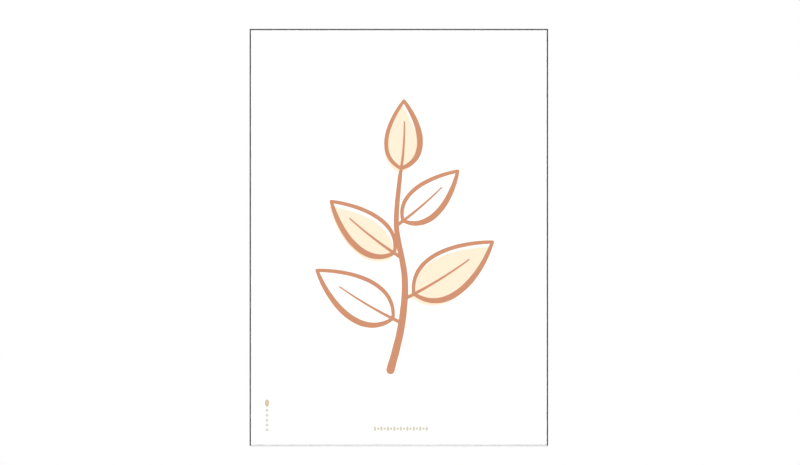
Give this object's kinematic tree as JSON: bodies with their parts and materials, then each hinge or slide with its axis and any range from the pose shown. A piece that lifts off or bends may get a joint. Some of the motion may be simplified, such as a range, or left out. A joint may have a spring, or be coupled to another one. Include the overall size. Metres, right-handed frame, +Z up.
{
  "type": "framed art print",
  "caption": "Portrait picture of a brushed leaf sprig in two inks, behind a clear pane in a slim mitred metal frame, with its clips, corner plates, hanger and wall pads.",
  "frame": {"origin": "on the wall plane, where the nail meets the middle notch of the hanger on the top rail", "axes": "+X to the right as the picture is looked at, +Y into the wall, +Z up"},
  "size_m": [0.502, 0.02, 0.702],
  "materials": {
    "frame_metal": "black satin anodised",
    "glazing": "clear polished acrylic sheet",
    "paper": "uncoated matt art paper",
    "line_ink": "matt printed ink",
    "tint_ink": "matt printed ink",
    "hardboard": "smooth brown fibreboard",
    "spring_steel": "blued spring steel strip",
    "zinc_steel": "zinc plated",
    "screw_steel": "zinc plated",
    "pad_rubber": "matt black rubber"
  },
  "bodies": {
    "root": {"frame_rail_top": "frame_metal", "frame_rail_bottom": "frame_metal", "frame_rail_left": "frame_metal", "frame_rail_right": "frame_metal", "glazing": "glazing", "print_sheet": "paper", "print_line": "line_ink", "print_tint_leaf_1": "tint_ink", "print_tint_leaf_2": "tint_ink", "print_tint_leaf_3": "tint_ink", "backing_board": "hardboard", "spring_clip_bottom_1": "spring_steel", "spring_clip_bottom_2": "spring_steel", "spring_clip_left_1": "spring_steel", "spring_clip_left_2": "spring_steel", "spring_clip_top_1": "spring_steel", "spring_clip_top_2": "spring_steel", "spring_clip_right_1": "spring_steel", "spring_clip_right_2": "spring_steel", "corner_plate_bottom_left": "zinc_steel", "corner_plate_top_left": "zinc_steel", "corner_plate_top_right": "zinc_steel", "corner_plate_bottom_right": "zinc_steel", "corner_screw_bottom_left_1": "screw_steel", "corner_screw_bottom_left_2": "screw_steel", "corner_screw_top_left_1": "screw_steel", "corner_screw_top_left_2": "screw_steel", "corner_screw_top_right_1": "screw_steel", "corner_screw_top_right_2": "screw_steel", "corner_screw_bottom_right_1": "screw_steel", "corner_screw_bottom_right_2": "screw_steel", "wall_hanger": "zinc_steel", "wall_pad_left": "pad_rubber", "wall_pad_right": "pad_rubber"}
  },
  "joints": []
}
